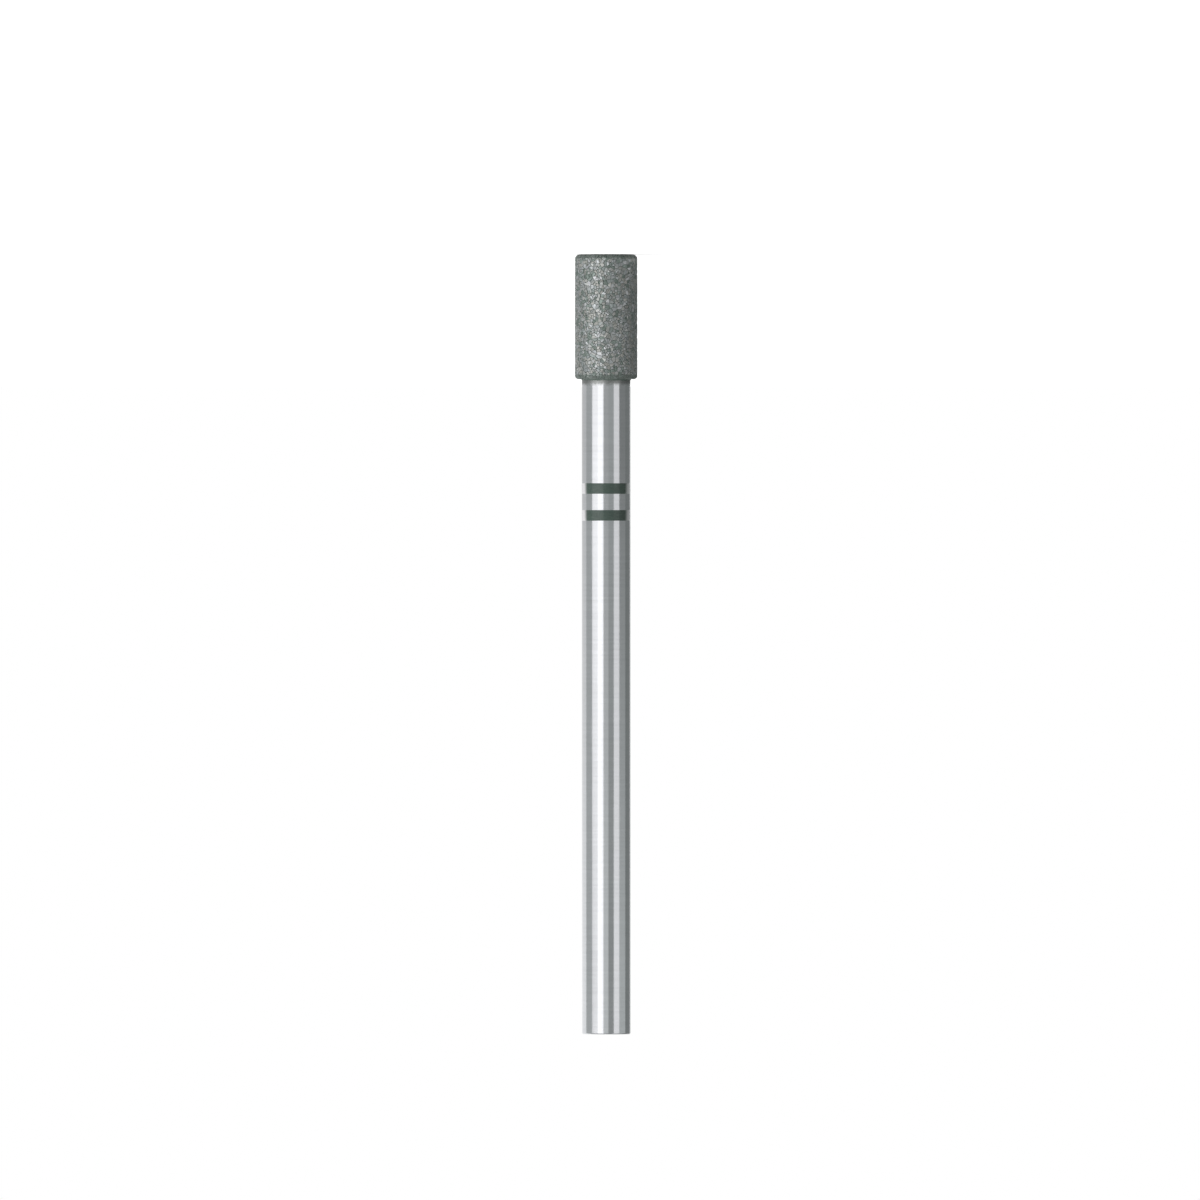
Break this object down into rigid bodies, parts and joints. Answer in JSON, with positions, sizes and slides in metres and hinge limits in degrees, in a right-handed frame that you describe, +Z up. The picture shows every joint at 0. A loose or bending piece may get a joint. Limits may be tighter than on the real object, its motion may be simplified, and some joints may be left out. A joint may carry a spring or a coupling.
{
  "type": "dental bur",
  "caption": "Cylindrical grinding bur: a bonded grit head on a plain straight handpiece shank with dark marking rings.",
  "frame": {"origin": "centre of the flat end of the grinding head, which is the end that the bur stands on", "axes": "+Z up the axis of rotation, from the head towards the free end of the shank; X and Y are any two directions across the round section"},
  "size_m": [0.003, 0.003, 0.0378],
  "materials": {
    "shank_steel": "centreless ground stainless steel, fine rings round the shank",
    "bonded_grit": "rough bonded grit, grey with lighter and darker grains",
    "ring_enamel": "glossy dark green-grey enamel in a shallow groove"
  },
  "bodies": {
    "root": {"shank": "shank_steel", "grinding_head": "bonded_grit", "marking_ring_near_head": "ring_enamel", "marking_ring_far": "ring_enamel"}
  },
  "joints": []
}
